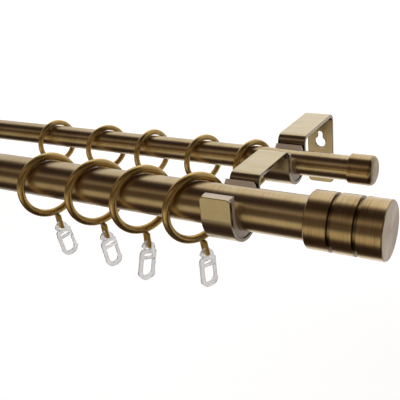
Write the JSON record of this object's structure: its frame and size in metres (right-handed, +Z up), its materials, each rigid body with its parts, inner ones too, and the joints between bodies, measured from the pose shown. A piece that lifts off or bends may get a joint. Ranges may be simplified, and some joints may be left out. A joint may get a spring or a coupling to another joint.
{
  "type": "double curtain rod",
  "caption": "Double curtain rod: thick front tube and thin rear tube on folded strip wall brackets, with grooved finials, end caps, sliding rings and clip-on curtain hooks.",
  "frame": {"origin": "on the wall, midway between the round ends of the two bracket keyholes", "axes": "+X along the rods to the right, +Y into the wall, +Z up"},
  "size_m": [1.034, 0.1633, 0.0782],
  "materials": {
    "antique_brass": "brushed antique brass plate on steel, lacquered satin",
    "ring_brass": "satin old-gold coat on steel wire",
    "eyelet_plastic": "moulded olive-yellow plastic",
    "hook_plastic": "clear moulded plastic, slightly milky",
    "liner_plastic": "translucent grey moulded plastic",
    "screw_steel": "darkened steel"
  },
  "bodies": {
    "rail": {"front_rod": "antique_brass", "rear_rod": "antique_brass", "bracket_right": "antique_brass", "front_liner_right": "liner_plastic", "rear_liner_right": "liner_plastic", "front_finial_right": "antique_brass", "finial_grub_screw_right": "screw_steel", "rear_end_cap_right": "antique_brass", "bracket_left": "antique_brass", "front_liner_left": "liner_plastic", "rear_liner_left": "liner_plastic", "front_finial_left": "antique_brass", "finial_grub_screw_left": "screw_steel", "rear_end_cap_left": "antique_brass"},
    "front_ring_1": {"front_ring_1": "ring_brass", "front_eyelet_1": "eyelet_plastic"},
    "front_hook_1": {"front_hook_1": "hook_plastic"},
    "front_ring_2": {"front_ring_2": "ring_brass", "front_eyelet_2": "eyelet_plastic"},
    "front_hook_2": {"front_hook_2": "hook_plastic"},
    "front_ring_3": {"front_ring_3": "ring_brass", "front_eyelet_3": "eyelet_plastic"},
    "front_hook_3": {"front_hook_3": "hook_plastic"},
    "front_ring_4": {"front_ring_4": "ring_brass", "front_eyelet_4": "eyelet_plastic"},
    "front_hook_4": {"front_hook_4": "hook_plastic"},
    "rear_ring_1": {"rear_ring_1": "ring_brass", "rear_eyelet_1": "eyelet_plastic"},
    "rear_hook_1": {"rear_hook_1": "hook_plastic"},
    "rear_ring_2": {"rear_ring_2": "ring_brass", "rear_eyelet_2": "eyelet_plastic"},
    "rear_hook_2": {"rear_hook_2": "hook_plastic"},
    "rear_ring_3": {"rear_ring_3": "ring_brass", "rear_eyelet_3": "eyelet_plastic"},
    "rear_hook_3": {"rear_hook_3": "hook_plastic"},
    "rear_ring_4": {"rear_ring_4": "ring_brass", "rear_eyelet_4": "eyelet_plastic"},
    "rear_hook_4": {"rear_hook_4": "hook_plastic"},
    "rear_ring_5": {"rear_ring_5": "ring_brass", "rear_eyelet_5": "eyelet_plastic"},
    "rear_hook_5": {"rear_hook_5": "hook_plastic"}
  },
  "joints": [
    {"name": "front_ring_1_slide", "type": "slide", "parent": "rail", "child": "front_ring_1", "axis": [1, 0, 0], "range_m": [-0.6899, 0.0092]},
    {"name": "front_hook_1_swing", "type": "hinge", "parent": "front_ring_1", "child": "front_hook_1", "pos_m": [0.28689, -0.13988, -0.02792], "axis": [0.9135, -0.4067, 0], "range_deg": [-25, 25]},
    {"name": "front_ring_2_slide", "type": "slide", "parent": "rail", "child": "front_ring_2", "axis": [1, 0, 0], "range_m": [-0.0092, 0.0061]},
    {"name": "front_hook_2_swing", "type": "hinge", "parent": "front_ring_2", "child": "front_hook_2", "pos_m": [0.32724, -0.14094, -0.028], "axis": [0.9063, -0.4226, 0], "range_deg": [-25, 25]},
    {"name": "front_ring_3_slide", "type": "slide", "parent": "rail", "child": "front_ring_3", "axis": [1, 0, 0], "range_m": [-0.0061, 0.0071]},
    {"name": "front_hook_3_swing", "type": "hinge", "parent": "front_ring_3", "child": "front_hook_3", "pos_m": [0.36214, -0.1425, -0.02805], "axis": [0.891, -0.454, 0], "range_deg": [-25, 25]},
    {"name": "front_ring_4_slide", "type": "slide", "parent": "rail", "child": "front_ring_4", "axis": [1, 0, 0], "range_m": [-0.0071, 0.0028]},
    {"name": "front_hook_4_swing", "type": "hinge", "parent": "front_ring_4", "child": "front_hook_4", "pos_m": [0.40286, -0.13846, -0.02773], "axis": [0.8829, -0.4695, 0], "range_deg": [-25, 25]},
    {"name": "rear_ring_1_slide", "type": "slide", "parent": "rail", "child": "rear_ring_1", "axis": [1, 0, 0], "range_m": [-0.6374, 0.0171]},
    {"name": "rear_hook_1_swing", "type": "hinge", "parent": "rear_ring_1", "child": "rear_hook_1", "pos_m": [0.22861, -0.0675, -0.02375], "axis": [0.9659, -0.2588, 0], "range_deg": [-25, 25]},
    {"name": "rear_ring_2_slide", "type": "slide", "parent": "rail", "child": "rear_ring_2", "axis": [1, 0, 0], "range_m": [-0.0171, 0.0136]},
    {"name": "rear_hook_2_swing", "type": "hinge", "parent": "rear_ring_2", "child": "rear_hook_2", "pos_m": [0.27824, -0.0675, -0.02375], "axis": [0.9063, -0.4226, 0], "range_deg": [-25, 25]},
    {"name": "rear_ring_3_slide", "type": "slide", "parent": "rail", "child": "rear_ring_3", "axis": [1, 0, 0], "range_m": [-0.0136, 0.0151]},
    {"name": "rear_hook_3_swing", "type": "hinge", "parent": "rear_ring_3", "child": "rear_hook_3", "pos_m": [0.32034, -0.0675, -0.02375], "axis": [0.9744, -0.225, 0], "range_deg": [-25, 25]},
    {"name": "rear_ring_4_slide", "type": "slide", "parent": "rail", "child": "rear_ring_4", "axis": [1, 0, 0], "range_m": [-0.0151, 0.0114]},
    {"name": "rear_hook_4_swing", "type": "hinge", "parent": "rear_ring_4", "child": "rear_hook_4", "pos_m": [0.36393, -0.0675, -0.02375], "axis": [0.9455, -0.3256, 0], "range_deg": [-25, 25]},
    {"name": "rear_ring_5_slide", "type": "slide", "parent": "rail", "child": "rear_ring_5", "axis": [1, 0, 0], "range_m": [-0.0114, 0.0051]},
    {"name": "rear_hook_5_swing", "type": "hinge", "parent": "rear_ring_5", "child": "rear_hook_5", "pos_m": [0.40246, -0.0675, -0.02375], "axis": [0.9272, -0.3746, 0], "range_deg": [-25, 25]}
  ]
}
